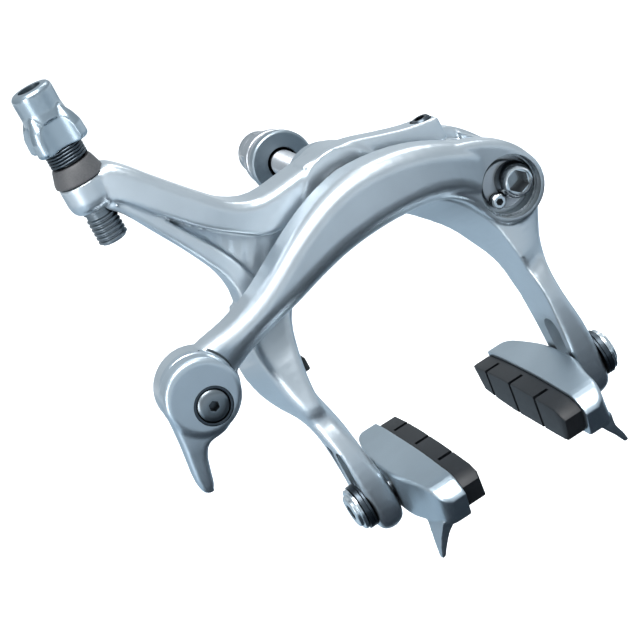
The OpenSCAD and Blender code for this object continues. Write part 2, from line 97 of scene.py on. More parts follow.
def new_material(name):
    """A material with its shader, and its object coordinates."""
    material = bpy.data.materials.new(name)
    material.use_nodes = True
    tree = material.node_tree
    place = add_node(tree, "ShaderNodeTexCoord").outputs["Object"]
    return material, tree, tree.nodes["Principled BSDF"], place


FLOOR_Z = -160
FLOOR_SIZE = 8
# White paper: matt, with a faint fibre that is hardly seen, and a glow that keeps its white even.
nothing_selected()
bpy.ops.mesh.primitive_plane_add(size=FLOOR_SIZE, location=(0, 0, FLOOR_Z * MM))
floor = bpy.context.object
floor.name = "floor"
paper, tree, shader, place = new_material("white_paper_sweep")
fibre = add_node(tree, "ShaderNodeTexNoise", {"Scale": 400, "Detail": 3}, {"Vector": place})
ramp = add_node(tree, "ShaderNodeValToRGB", None, {"Fac": fibre.outputs["Fac"]})
ramp.color_ramp.elements[0].color = linear("#f8f9fa")
ramp.color_ramp.elements[1].color = linear("#ffffff")
tree.links.new(ramp.outputs["Color"], shader.inputs["Base Color"])
shader.inputs["Roughness"].default_value = 0.9
shader.inputs["Emission Color"].default_value = linear("#ffffff")
shader.inputs["Emission Strength"].default_value = 0.45
floor.data.materials.append(paper)

world = bpy.data.worlds.new("sky")
bpy.context.scene.world = world
world.use_nodes = True
background = world.node_tree.nodes["Background"]
direction = add_node(world.node_tree, "ShaderNodeTexCoord").outputs["Generated"]
height = add_node(world.node_tree, "ShaderNodeSeparateXYZ", None, {"Vector": direction}).outputs["Z"]
sky = add_node(world.node_tree, "ShaderNodeValToRGB", None, {"Fac": height})
sky.color_ramp.elements[0].color = linear("#aeb9c1")
sky.color_ramp.elements[1].color = linear("#dde5ea")
sky.color_ramp.elements[1].position = 0.9
world.node_tree.links.new(sky.outputs["Color"], background.inputs["Color"])
background.inputs["Strength"].default_value = 1.0


AIM = Vector((0, -0.01, -0.02))


def soft_box(name, place, size, power):
    """A rectangular area light, places and sizes in metres, that looks at the middle of the caliper."""
    data = bpy.data.lights.new(name, "AREA")
    data.shape = "RECTANGLE"
    data.size, data.size_y = size
    data.energy = power
    lamp = bpy.data.objects.new(name, data)
    bpy.context.scene.collection.objects.link(lamp)
    lamp.location = place
    lamp.rotation_mode = "QUATERNION"
    lamp.rotation_quaternion = (AIM - lamp.location).to_track_quat("-Z", "Y")


soft_box("key", (-0.05, -0.35, 0.65), (0.55, 0.40), 8)
soft_box("fill", (-0.60, -0.40, 0.15), (0.20, 0.50), 2.0)
soft_box("rim", (0.45, 0.35, 0.60), (0.30, 0.40), 1.6)

# A grey and a black card lie under the object, seen only in its reflections, to draw the lower edges.
# Flock takes all gloss off them, so a reflection of one is an even tone with a soft end.
for name, middle, size, dark, light in (
        ("grey_card", (0, 0.1, -0.14), (1.5, 1.7, 1), "#93a2ae", "#9dacb7"),
        ("black_card", (0.02, -0.15, -0.13), (0.40, 0.34, 1), "#101820", "#1c2630")):
    nothing_selected()
    bpy.ops.mesh.primitive_plane_add(size=1, location=middle)
    card = bpy.context.object
    card.name = name
    card.scale = size
    bpy.ops.object.transform_apply(location=True, scale=True)
    flocked, tree, shader, place = new_material("flocked_" + name)
    flock = add_node(tree, "ShaderNodeTexNoise", {"Scale": 900, "Detail": 2}, {"Vector": place})
    ramp = add_node(tree, "ShaderNodeValToRGB", None, {"Fac": flock.outputs["Fac"]})
    ramp.color_ramp.elements[0].color = linear(dark)
    ramp.color_ramp.elements[1].color = linear(light)
    tree.links.new(ramp.outputs["Color"], shader.inputs["Base Color"])
    shader.inputs["Roughness"].default_value = 1
    card.data.materials.append(flocked)
    card.visible_camera = False
    card.visible_shadow = False
    card.visible_diffuse = False


# ---- fixed frame: arm bracket, bushes, washers and nuts ----
# A stamped alloy bracket carries both pivots. The bushes pressed into the arms are sintered bronze, soaked
# in oil, and the nuts and washers that hold all together are steel, plated with zinc against rust.
# Painted shade: the colour that narrow crevices and sockets are darkened towards.
CREVICE_SHADE_COLOUR = "#0d1216"
CLOUD_SCALE = 110
GRAIN_DEPTH = 0.02
# The mix node's colour sockets, by number because its socket names repeat.
MIX_FIRST, MIX_SECOND, MIX_RESULT = 6, 7, 2


def metal(name, colour, roughness, grain_mm, bump, streak=(1, 1, 1), crevice_mm=2.5):
    """Metal with a grain of that size, darkened by painted shade in crevices that narrow; streak stretches
    the grain.
    """
    material, tree, shader, place = new_material(name)
    spread = add_node(tree, "ShaderNodeMapping", {"Scale": streak}, {"Vector": place})
    grain = add_node(tree, "ShaderNodeTexNoise", {"Scale": 1 / (grain_mm * MM), "Detail": 4},
                     {"Vector": spread.outputs["Vector"]})
    cloud = add_node(tree, "ShaderNodeTexNoise", {"Scale": CLOUD_SCALE, "Detail": 3}, {"Vector": place})
    tone = add_node(tree, "ShaderNodeValToRGB", None, {"Fac": cloud.outputs["Fac"]})
    base = linear(colour)
    tone.color_ramp.elements[0].color = [c * 0.96 for c in base[:3]] + [1]
    tone.color_ramp.elements[0].position = 0.3
    tone.color_ramp.elements[1].color = [min(1, c * 1.03) for c in base[:3]] + [1]
    tone.color_ramp.elements[1].position = 0.7
    # Painted shade: ambient occlusion darkens the colour where a crevice closes in.
    crevice = add_node(tree, "ShaderNodeAmbientOcclusion", {"Distance": crevice_mm * MM, "samples": 6})
    depth = add_node(tree, "ShaderNodeMapRange",
                     {"From Min": 0.15, "From Max": 0.75, "To Min": 0.12, "To Max": 1},
                     {"Value": crevice.outputs["AO"]})
    shaded_in_crevices = add_node(tree, "ShaderNodeMix", {"data_type": "RGBA"}, {"Factor": depth.outputs["Result"]})
    shaded_in_crevices.inputs[MIX_FIRST].default_value = linear(CREVICE_SHADE_COLOUR)
    tree.links.new(tone.outputs["Color"], shaded_in_crevices.inputs[MIX_SECOND])
    tree.links.new(shaded_in_crevices.outputs[MIX_RESULT], shader.inputs["Base Color"])
    gloss = add_node(tree, "ShaderNodeMapRange",
                     {"From Min": 0.3, "From Max": 0.7,
                      "To Min": roughness * 0.93, "To Max": roughness * 1.08},
                     {"Value": grain.outputs["Fac"]})
    tree.links.new(gloss.outputs["Result"], shader.inputs["Roughness"])
    shader.inputs["Metallic"].default_value = 1
    relief = add_node(tree, "ShaderNodeBump", {"Strength": bump, "Distance": GRAIN_DEPTH * MM},
                      {"Height": grain.outputs["Fac"]})
    tree.links.new(relief.outputs["Normal"], shader.inputs["Normal"])
    return material


# Zinc plate: bright and faintly clouded, with soft reflections.
zinc_steel = metal("zinc_plated_steel", "#b9bdc2", 0.30, 0.5, 0.5)
# Sintered bronze: brown, dull and a little pitted under its oil.
oiled_bronze = metal("oiled_sintered_bronze", "#8a7247", 0.45, 0.4, 0.8)
# Tumbled alloy: the punch's marks are rubbed down to an even pebbled sheen.
stamped_alloy = metal("tumbled_stamped_alloy", "#bcc6ce", 0.34, 0.6, 0.6)


def finish_cad(material, *nodes):
    """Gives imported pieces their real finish."""
    for name in nodes:
        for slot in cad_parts[name].material_slots:
            slot.material = material


finish_cad(stamped_alloy, "arm_bracket")
finish_cad(zinc_steel, "centre_nut", "centre_washer", "thrust_washer", "crown_gripper", "cam_plate",
           "cable_anchor_nut")
finish_cad(oiled_bronze, "centre_bush", "pivot_bush")


# ---- turned pieces: centre bolt, crown washer, spacer and lock nut ----
# The centre bolt is steel with a rolled thread, and goes through the fork's crown. The crown washer is
# turned alloy; the spacer and the flanged lock nut with its collar are steel. All are turned from bar:
# a circle drawn up and in or out step by step, then closed.
def close_mesh(piece, smooth_degrees=35):
    """Merges doubles, turns faces outwards and shades the piece smooth but for its sharp edges."""
    nothing_selected()
    bpy.context.view_layer.objects.active = piece
    piece.select_set(True)
    bpy.ops.object.mode_set(mode="EDIT")
    bpy.ops.mesh.select_all(action="SELECT")
    bpy.ops.mesh.remove_doubles(threshold=0.002 * MM)
    bpy.ops.mesh.normals_make_consistent(inside=False)
    bpy.ops.object.mode_set(mode="OBJECT")
    bpy.ops.object.shade_smooth_by_angle(angle=math.radians(smooth_degrees))


def apply_modifier(piece, kind, **settings):
    """Adds a modifier with these settings and applies it."""
    nothing_selected()
    bpy.context.view_layer.objects.active = piece
    piece.select_set(True)
    bpy.ops.object.modifier_add(type=kind)
    modifier = piece.modifiers[-1]
    for name, value in settings.items():
        setattr(modifier, name, value)
    bpy.ops.object.modifier_apply(modifier=modifier.name)


def settle(piece, matrix):
    """Puts the finished mesh in place and leaves its object at the origin."""
    piece.data.transform(matrix)
    piece.matrix_world = Matrix.Identity(4)


ALONG_Y = Matrix(((1, 0, 0, 0), (0, 0, 1, 0), (0, -1, 0, 0), (0, 0, 0, 1)))
ALONG_X = Matrix(((0, 0, 1, 0), (1, 0, 0, 0), (0, 1, 0, 0), (0, 0, 0, 1)))
UPRIGHT = Matrix.Identity(4)


def turned(name, steps, centre, along=UPRIGHT, sides=64, bevel=0.15, ring=False):
    """Turns a piece from (height, radius) steps along its axis. A ring comes back to its first step."""
    nothing_selected()
    bpy.ops.mesh.primitive_circle_add(vertices=sides, radius=steps[0][1] * MM,
                                      location=(0, 0, steps[0][0] * MM))
    piece = bpy.context.object
    piece.name = name
    bpy.ops.object.transform_apply(location=True)
    bpy.ops.object.mode_set(mode="EDIT")
    bpy.ops.mesh.select_all(action="SELECT")
    if not ring:
        bpy.ops.mesh.edge_face_add()
        bpy.ops.mesh.select_all(action="SELECT")
    before = steps[0]
    for step in steps[1:] + (steps[:1] if ring else []):
        if ring:
            bpy.ops.mesh.extrude_edges_move()
        else:
            bpy.ops.mesh.extrude_region_move()
        scale = step[1] / before[1]
        bpy.ops.transform.resize(value=(scale, scale, 1), center_override=(0, 0, 0))
        bpy.ops.transform.translate(value=(0, 0, (step[0] - before[0]) * MM))
        before = step
    bpy.ops.object.mode_set(mode="OBJECT")
    close_mesh(piece)
    if bevel:
        apply_modifier(piece, "BEVEL", width=bevel * MM, segments=2, limit_method="ANGLE",
                       angle_limit=math.radians(30), use_clamp_overlap=True)
    settle(piece, Matrix.Translation(Vector(centre) * MM) @ along)
    close_mesh(piece)
    return piece


def finish(piece, material, body, slot, *nodes):
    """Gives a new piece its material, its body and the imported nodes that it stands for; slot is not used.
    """
    piece.data.materials.clear()
    piece.data.materials.append(material)
    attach(piece, body)
    if nodes:
        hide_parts(*nodes)


NUDGE = (0.007 * MM, 0.005 * MM, 0.006 * MM)


def cut(piece, *cutters):
    """Takes each cutter's shape out of the piece. A cutter whose face falls on the piece's own is nudged."""
    for cutter in cutters:
        whole = piece.data.copy()
        apply_modifier(piece, "BOOLEAN", operation="DIFFERENCE", object=cutter, solver="EXACT")
        if len(piece.data.polygons) < 0.5 * len(whole.polygons):
            piece.data = whole
            cutter.data.transform(Matrix.Translation(NUDGE))
            apply_modifier(piece, "BOOLEAN", operation="DIFFERENCE", object=cutter, solver="EXACT")
        bpy.data.objects.remove(cutter)


def cylinder(centre, radius, length, along=UPRIGHT, sides=48):
    """A round cutter or boss that starts at centre and runs on along its axis."""
    nothing_selected()
    bpy.ops.mesh.primitive_cylinder_add(vertices=sides, radius=radius * MM, depth=length * MM,
                                        location=(0, 0, length / 2 * MM))
    bar = bpy.context.object
    bpy.ops.object.transform_apply(location=True)
    settle(bar, Matrix.Translation(Vector(centre) * MM) @ along)
    return bar


BOLT_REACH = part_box("centre_bolt")[1].y / MM
WASHER_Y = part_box("crown_washer")[0].y / MM
SPACER_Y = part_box("spacer_washer")[0].y / MM
NUT_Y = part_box("lock_nut")[0].y / MM
THREAD_PITCH = 1.25
THREAD_START = 12.5
THREAD_RUN_OUT = 1.1

plain_shank = [(-17.4, 3), (12, 3)]
rolled_thread = []
for turn in range(int((BOLT_REACH - THREAD_START - THREAD_RUN_OUT) / THREAD_PITCH)):
    root = THREAD_START + turn * THREAD_PITCH
    rolled_thread += [(root, 2.5), (root + 0.6, 3)]
bolt_tip = [(BOLT_REACH - 0.4, 2.6), (BOLT_REACH, 2.2)]
bolt = turned("centre_bolt_threaded", plain_shank + rolled_thread + bolt_tip, (0, 0, 0), ALONG_Y, bevel=0)
finish(bolt, zinc_steel, "frame", "steel", "centre_bolt")

# Satin turned alloy: a greyer metal than the arms', with fine lathe marks that dull its shine.
satin_alloy = metal("satin_turned_alloy", "#98a4ac", 0.36, 0.5, 0.05)
washer = turned("crown_washer_turned",
                [(0, 3.6), (0, 7.0), (0.4, 7.4), (2.2, 7.4), (3.2, 6.4), (3.2, 3.6)],
                (0, WASHER_Y, 0), ALONG_Y, ring=True, bevel=0.12)
finish(washer, satin_alloy, "frame", "small_alloy", "crown_washer")
spacer = turned("spacer_turned", [(0, 3.2), (0, 6.2), (4.4, 6.2), (4.4, 3.2)], (0, SPACER_Y, 0), ALONG_Y,
                ring=True, bevel=0.25)
finish(spacer, zinc_steel, "frame", "steel", "spacer_washer")

nut = turned("lock_nut_hex", [(1.6, 3.05), (1.6, 5.75), (8, 5.75), (8, 3.05)], (0, NUT_Y, 0), ALONG_Y,
             sides=6, ring=True, bevel=0.35)
finish(nut, zinc_steel, "frame", "steel", "lock_nut")
flange = turned("lock_nut_flange", [(0, 3.05), (0, 6.3), (0.5, 6.6), (1.7, 6.6), (1.7, 3.05)], (0, NUT_Y, 0),
                ALONG_Y, ring=True, bevel=0.2)
finish(flange, zinc_steel, "frame", "steel")
collar = turned("lock_nut_collar",
                [(8, 3.05), (8, 5.1), (11.2, 5.1), (12.4, 4.6), (13.1, 3.9), (13.2, 3.05)],
                (0, NUT_Y, 0), ALONG_Y, ring=True, bevel=0.2)
finish(collar, zinc_steel, "frame", "steel")


# ---- front arm: anchor boss, arch, side-pivot boss and right leg ----
# Cold-forged aluminium, polished and clear anodised: one bar that runs from the cable anchor over the hub
# to the side pivot, and down to the right pad. It is drawn section by section and blended into its bosses,
# and then its bores, its recesses and the pad's slot are machined. It swings on the side pivot bolt.
def eased(sections, steps):
    """The sections with more between them, on a smooth curve through each corner."""
    sections = [[Vector(c) for c in section] for section in sections]
    result = []
    for i in range(len(sections) - 1):
        run = (sections[max(i - 1, 0)], sections[i], sections[i + 1], sections[min(i + 2, len(sections) - 1)])
        for t in [k / steps for k in range(steps)]:
            result.append([
                b + 0.5 * t * ((c - a) + t * ((2 * a - 5 * b + 4 * c - d) + t * (3 * b - a - 3 * c + d)))
                for a, b, c, d in zip(*run)
            ])
    return result + [sections[-1]]


def forged_bar(name, sections, rounding, steps=3):
    """Draws a bar through four-cornered sections. rounding is each long edge's radius, corner by corner."""
    sections = eased(sections, steps)
    nothing_selected()
    bpy.ops.mesh.primitive_plane_add(size=MM)
    bar = bpy.context.object
    bar.name = name
    bpy.ops.object.mode_set(mode="EDIT")
    bpy.ops.mesh.select_all(action="SELECT")
    mesh = bmesh.from_edit_mesh(bar.data)
    for vert, corner in zip(list(mesh.faces)[0].verts, sections[0]):
        vert.co = Vector(corner) * MM
    last = [Vector(c) * MM for c in sections[0]]
    for section in sections[1:]:
        bmesh.update_edit_mesh(bar.data)
        bpy.ops.mesh.extrude_region_move()
        mesh = bmesh.from_edit_mesh(bar.data)
        for vert in [v for v in mesh.verts if v.select]:
            corner = min(range(4), key=lambda k: (vert.co - last[k]).length)
            vert.co = Vector(section[corner]) * MM
        last = [Vector(c) * MM for c in section]
    bmesh.update_edit_mesh(bar.data)
    for corner in range(4):
        if not rounding[corner]:
            continue
        line = [Vector(s[corner]) * MM for s in sections]
        bpy.ops.mesh.select_all(action="DESELECT")
        mesh = bmesh.from_edit_mesh(bar.data)
        for edge in mesh.edges:
            ends = [min(((v.co - p).length, i) for i, p in enumerate(line)) for v in edge.verts]
            if all(d < 0.001 * MM for d, i in ends) and abs(ends[0][1] - ends[1][1]) == 1:
                edge.select_set(True)
        bmesh.update_edit_mesh(bar.data)
        bpy.ops.mesh.bevel(offset=rounding[corner] * MM, segments=5, profile=0.5, clamp_overlap=False)
    bpy.ops.object.mode_set(mode="OBJECT")
    close_mesh(bar)
    return bar


def join(name, parts):
    """Makes one object of several."""
    nothing_selected()
    for part in parts:
        part.select_set(True)
    bpy.context.view_layer.objects.active = parts[0]
    bpy.ops.object.join()
    parts[0].name = name
    return parts[0]


def blend_forging(piece, grain, passes):
    """Melts overlapping bars and bosses into one skin of that grain and softens where they meet."""
    apply_modifier(piece, "REMESH", mode="VOXEL", voxel_size=grain * MM, adaptivity=0)
    apply_modifier(piece, "SMOOTH", factor=0.5, iterations=passes)


def strip(upper, lower, front, back):
    """A section across a bar that lies in the front view, from its front upper corner down and round."""
    return [(upper[0], front, upper[1]), (lower[0], front, lower[1]),
            (lower[0], back, lower[1]), (upper[0], back, upper[1])]


def slab(centre, size, tilt=0):
    """A rectangular block about that centre, tipped about X by that many degrees."""
    nothing_selected()
    bpy.ops.mesh.primitive_cube_add(size=1, location=[c * MM for c in centre],
                                    rotation=(math.radians(tilt), 0, 0))
    block = bpy.context.object
    block.scale = [c * MM for c in size]
    bpy.ops.object.transform_apply(location=True, rotation=True, scale=True)
    return block


# Where each axis crosses the front view: the side pivot, the cable anchor and the clamp plate about it.
PIVOT = (30, -16)
ANCHOR = (-49.7, -19)
PLATE = (-50, -16.4)
# The pad bolt at the bottom of its slot, and how far up it slides.
PAD_Y = -22
PAD_Z = -60
PAD_TRAVEL = 10
ARCH_BACK = -18.6
ARM_GRAIN = 0.33
# The arch from the anchor to the pivot: its upper edge, its lower edge and how far its front stands out.
arch_line = [
    ((-49, -11), (-46.5, -23), -24.4),
    ((-44, -9.6), (-41.2, -19.4), -25.8),
    ((-38, -8.6), (-36, -16.4), -27.4),
    ((-31, -6.4), (-29.4, -14.2), -28.4),
    ((-24.5, -3.1), (-22.4, -12.3), -29),
    ((-17.5, 0.7), (-15.2, -10.3), -29),
    ((-9, 4.3), (-8, -8.8), -29),
    ((-0.5, 6.0), (-0.5, -8.2), -29),
    ((8.5, 5.1), (7, -8.6), -28.6),
    ((16, 2.8), (14, -10), -27.8),
    ((22.5, -0.6), (19.6, -12.8), -26.4),
    ((28.5, -4.6), (23.6, -17.6), -24.6),
]
arch = forged_bar("arch", [strip(u, l, front, ARCH_BACK) for u, l, front in arch_line], (3.3, 4.3, 0.8, 0.8))
boss_wrap = forged_bar("boss_wrap", [
    strip((13, 1.6), (11, -8.4), -27.2, -19),
    strip((19, -0.2), (16.4, -11), -26.2, -19),
    strip((25.2, -2.2), (19.8, -14.2), -25.2, -18.6),
    strip((30.6, -4.8), (21.6, -17.4), -24.6, -18.4),
    strip((34.8, -8.2), (23.2, -20.6), -24.3, -18.4),
    strip((37.4, -12.8), (26.4, -23.2), -24.2, -18.2),
    strip((37.7, -17.4), (30, -24.2), -24.1, -18),
], (1.4, 2.0, 0.6, 0.6))
# The lip is the thin ledge that the dies leave behind the arch's lower edge.
lip = forged_bar("arch_lip", [
    strip(((u[0] + l[0]) / 2, (u[1] + l[1]) / 2),
          (l[0] + 0.05 * (l[0] - u[0]), l[1] + 0.05 * (l[1] - u[1])), -21.4, -18.5)
    for u, l, front in arch_line[2:]
], (0.3, 0.3, 0.3, 0.3))
right_leg = forged_bar("right_leg", [
    [(9, -21.4, -7.6), (24, -21, -3.6), (26, -8.4, -4.4), (5.6, -11.4, -9.8)],
    [(13.6, -21.4, -9.6), (28.5, -21.6, -5.8), (29, -8.4, -5.8), (9.8, -11.2, -13)],
    [(18.8, -22, -13.4), (33.6, -22, -10), (34.2, -8.4, -10), (13.6, -11, -17)],
    [(21.8, -23, -18), (36.2, -21.8, -15), (36.8, -8.4, -15), (17.3, -10.8, -21.6)],
    [(23.4, -24, -22.4), (36.2, -21.4, -20.6), (36.6, -8.5, -20.6), (19.8, -10.6, -26.2)],
    [(24, -24.8, -26.4), (34, -21.8, -25.4), (34.4, -9.6, -25.4), (21.7, -11, -30)],
    [(24.5, -25.4, -30.4), (31.8, -22.4, -29.6), (32.2, -11, -29.6), (22.7, -12, -33)],
    [(24.8, -25.2, -34), (30.6, -23.2, -33.2), (30.8, -12, -33.2), (23.2, -12.8, -36)],
    [(25, -26.6, -37.4), (29.5, -25.4, -36.6), (29.7, -12.6, -36.6), (23.5, -13, -39)],
    [(25.1, -27.2, -42), (29.3, -27.0, -42), (29.4, -13, -42), (23.8, -13.2, -42)],
    [(24.6, -27.4, -50), (30.2, -27.4, -50), (30.2, -13.4, -50), (24, -13.6, -50)],
    [(24.2, -27.2, -58), (30.4, -27.2, -58), (30.4, -13.8, -58), (24, -13.8, -58)],
    [(24.2, -26.4, -63.6), (30.3, -26.4, -63.6), (30.2, -15.2, -63.6), (24.1, -15.2, -63.6)],
    [(24.4, -24.8, -66.4), (30, -24.8, -66.4), (29.9, -16.8, -66.4), (24.4, -16.8, -66.4)],
    [(25.3, -22.6, -68.1), (29, -22.6, -68.1), (29, -19, -68.1), (25.3, -19, -68.1)],
], (0.9, 1.8, 0.9, 0.4))
boss = cylinder((PIVOT[0], -24.2, PIVOT[1]), 7.98, 19.2, ALONG_Y)
anchor_boss = cylinder((-49.3, -24.5, -17.8), 8.7, 7, ALONG_Y)
ledge = forged_bar("cam_ledge", [
    [(17.6, -15, -6.7), (17.6, -15, -9.4), (17.6, -8.8, -9.4), (17.6, -8.8, -6.7)],
    [(22, -15, -6.7), (20, -15, -13), (20, -8.8, -13), (22, -8.8, -6.7)],
    [(28, -15, -6.7), (28, -15, -16), (28, -8.8, -16), (28, -8.8, -6.7)],
], (0, 0, 0, 0))
shoulder = forged_bar("shoulder", [
    [(24, -8.2, -0.8), (24, -8.2, -12), (24, -5.2, -12), (24, -5.2, -0.8)],
    [(27, -8.2, -1.4), (27, -8.2, -12), (27, -5.2, -12), (27, -5.2, -1.4)],
    [(31, -8.2, -4.6), (31, -8.2, -14), (31, -5.2, -14), (31, -5.2, -4.6)],
    [(34.6, -8.2, -9.2), (34.6, -8.2, -16), (34.6, -5.2, -16), (34.6, -5.2, -9.2)],
], (0.4, 0.4, 0.4, 0.4))
outer_shoulder = forged_bar("outer_shoulder", [
    [(29.4, -19.5, -4), (29.4, -19.5, -12), (29.4, -8, -12), (29.4, -8, -4)],
    [(34.4, -21, -9.2), (32, -21, -14), (32, -8, -14), (34.4, -8, -9.2)],
    [(37, -21, -14.6), (33, -21, -17), (33, -8, -17), (37, -8, -14.6)],
], (1.5, 0, 0, 0.8))
front_arm = join("front_arm_forging", [arch, boss_wrap, lip, right_leg, boss, anchor_boss, ledge, shoulder,
                                       outer_shoulder])
blend_forging(front_arm, ARM_GRAIN, 6)


def slot_block(side, near, far, radius):
    """Upright round-ended block over the pad bolt's travel, between two distances from the middle."""
    ends = [cylinder((near if side > 0 else -far, PAD_Y, z), radius, far - near, ALONG_X)
            for z in (PAD_Z, PAD_Z + PAD_TRAVEL)]
    middle = slab((side * (near + far) / 2, PAD_Y, PAD_Z + PAD_TRAVEL / 2),
                  (far - near, 2 * radius, PAD_TRAVEL))
    return [middle, *ends]


def pad_slot(side):
    """Cutters for the flats on a leg's outer and inner face, and for the slot that the pad bolt slides in."""
    return [*slot_block(side, 30.35, 34, 5.6), *slot_block(side, 20, 24.02, 5.6),
            *slot_block(side, 19, 35, 3.2)]


# Machined in turn: the ring's seat, the recess behind it and the bush's bore at the pivot, room for the nut
# on the hub, the clamp plate's seat, and the anchor bolt's hole.
cut(front_arm,
    cylinder((PIVOT[0], -30, PIVOT[1]), 6.95, 8, ALONG_Y, 96),
    cylinder((PIVOT[0], -30, PIVOT[1]), 6.35, 11, ALONG_Y, 96),
    cylinder((PIVOT[0], -30, PIVOT[1]), 4.8, 30, ALONG_Y),
    cylinder((0, -19.4, 0), 8.2, 4, ALONG_Y),
    cylinder((PLATE[0], -34, PLATE[1]), 8.6, 9.4, ALONG_Y, 96),
    cylinder((ANCHOR[0], -30, ANCHOR[1]), 3, 16, ALONG_Y),
    *pad_slot(1))
close_mesh(front_arm, 40)
# Clear anodised forging: pale silver with a satin gloss that blurs each highlight into a soft band.
anodised = metal("satin_anodised_forging", "#cdd5db", 0.36, 0.7, 0.06, crevice_mm=1.2)
finish(front_arm, anodised, "front_arm", "arm_alloy", "c_arm")


# ---- rear arm: adjuster branch, hub, tail and left leg ----
# The same cold-forged, anodised aluminium. A branch of two ribs with a thin web between them goes up to the
# cable adjuster's boss, a tail holds the centring screw, and the leg goes down to the left pad. The arm
# swings on a bronze bush round the centre bolt.
upper_rib = forged_bar("upper_rib", [
    strip((-44.6, 30.8), (-46.2, 24.4), -12.8, -6),
    strip((-41.4, 31.0), (-43.0, 22.8), -13.8, -5.2),
    strip((-37.8, 28.0), (-40.4, 20.2), -14.6, -5.2),
    strip((-33.4, 22.6), (-37, 16.0), -15.2, -5.2),
    strip((-26.8, 14.8), (-30.6, 9.0), -15.8, -5.2),
    strip((-22.6, 10.6), (-25, 4.2), -15.8, -5.2),
    strip((-17, 8.2), (-18.5, 0), -15.8, -5.2),
    strip((-8, 8.6), (-9, 0), -15.8, -5.2),
    strip((0, 9.4), (0, 0), -15.8, -5.2),
], (2.0, 0.8, 0.5, 0.9))
lower_rib = forged_bar("lower_rib", [
    strip((-43.6, 24.4), (-46.4, 22.8), -12.4, -6.4),
    strip((-40.4, 21.6), (-43.4, 19.8), -13.2, -5.6),
    strip((-36.2, 14.4), (-39.4, 12.6), -13.6, -5.3),
    strip((-32.8, 8.6), (-36.2, 6.8), -13.8, -5.2),
    strip((-29.6, 3.2), (-33.5, 1.4), -14, -5.2),
    strip((-27.2, -2), (-31.7, -3), -14, -5.2),
    strip((-25.2, -8), (-31, -8), -14.4, -5.2),
    strip((-22, -14), (-32, -14), -15, -5.2),
], (0.8, 1.2, 0.6, 0.4))
# The web is tipped: it lies deep under the upper rib and comes forward to the lower one.
web = forged_bar("web", [
    [(x0, y, z0), (x1, -13.2, z1), (x1, -6.2, z1), (x0, -6.2, z0)]
    for y, (x0, z0), (x1, z1) in (
        (-12, (-42.8, 26), (-44.4, 23.2)),
        (-11.4, (-37.6, 20), (-39.8, 16)),
        (-10, (-31.4, 12.4), (-35.6, 7)),
        (-9.6, (-26.4, 7.6), (-31.8, -1)),
        (-9.6, (-18, 4), (-28.6, -9)),
        (-9.8, (-8, 2), (-20, -15)),
    )
], (0, 0, 0, 0))
tail = forged_bar("tail", [
    strip((-6, 9.2), (-6, 0), -15.4, -8.8),
    strip((0, 9.4), (0, -2), -15.4, -8.8),
    strip((6, 8.4), (5, -3.4), -15.4, -8.8),
    strip((12, 6.3), (11, -3.6), -15.3, -8.8),
    strip((18.5, 4.2), (18, -3), -15.2, -8.8),
    strip((25.2, 2.9), (25.2, -2.2), -15, -8.8),
], (0.4, 0.4, 0.4, 0.4))
left_leg = forged_bar("left_leg", [
    [(-19, -15.6, -11), (-32.6, -15.6, -11), (-32.6, -5.6, -11), (-13, -5.6, -11)],
    [(-24.2, -18, -17.6), (-33.9, -17, -17.2), (-36, -6.4, -17.2), (-20.8, -5.8, -17.6)],
    [(-26.8, -21, -24), (-33.9, -19.8, -24), (-38, -8, -24), (-24, -7.6, -24)],
    [(-28, -23, -30), (-33.6, -21.4, -30), (-37.2, -10, -30), (-26.1, -9.6, -30)],
    [(-28.4, -24.2, -34.6), (-33, -22.4, -34.6), (-35.2, -11.4, -34.6), (-26.4, -11, -34.6)],
    [(-27.9, -23.9, -38.4), (-32.5, -22.6, -38.4), (-32.8, -12.4, -38.4), (-25.8, -12, -38.4)],
    [(-27.2, -25.6, -42), (-32, -24.6, -42), (-31.4, -13, -42), (-25, -12.8, -42)],
    [(-26, -26.9, -47), (-31.3, -26.4, -47), (-30.6, -13.4, -47), (-24.2, -13.2, -47)],
    [(-24.9, -27.4, -54), (-30.8, -27.2, -54), (-30.3, -13.6, -54), (-24, -13.6, -54)],
    [(-24.3, -27.2, -60), (-30.4, -27, -60), (-30.3, -13.8, -60), (-24, -13.8, -60)],
    [(-24.1, -26.2, -63.8), (-30.3, -26.2, -63.8), (-30.2, -15.2, -63.8), (-24.1, -15.2, -63.8)],
    [(-24.4, -24.6, -66.4), (-30, -24.6, -66.4), (-29.9, -16.8, -66.4), (-24.4, -16.8, -66.4)],
    [(-25.3, -22.4, -68.1), (-29, -22.4, -68.1), (-29, -19, -68.1), (-25.3, -19, -68.1)],
], (1.6, 1.8, 0.7, 0.6))
hub = cylinder((0, -16, 0), 9.5, 10.8, ALONG_Y, 64)
ADJUSTER = (-47.2, -9)
SCREW = (22.3, -12)
adjuster_boss = turned("adjuster_boss", [(23.4, 3.2), (23.7, 4.1), (24.6, 4.8), (26, 5.1), (30.3, 5.1)],
                       (*ADJUSTER, 0), bevel=0)
screw_boss = cylinder((*SCREW, -3.6), 3, 6.5)
rear_arm = join("rear_arm_forging",
                [upper_rib, lower_rib, web, tail, left_leg, hub, adjuster_boss, screw_boss])
blend_forging(rear_arm, ARM_GRAIN, 6)
# Machined in turn: the bush's bore, the barrel's bore, and the centring screw's hole and counterbore.
cut(rear_arm,
    cylinder((0, -18, 0), 4, 16, ALONG_Y),
    cylinder((*ADJUSTER, 20), 3.35, 14),
    cylinder((*SCREW, -8), 1.55, 20),
    cylinder((*SCREW, 0.9), 2.4, 6),
    *pad_slot(-1))
close_mesh(rear_arm, 40)
finish(rear_arm, anodised, "rear_arm", "arm_alloy", "y_arm")


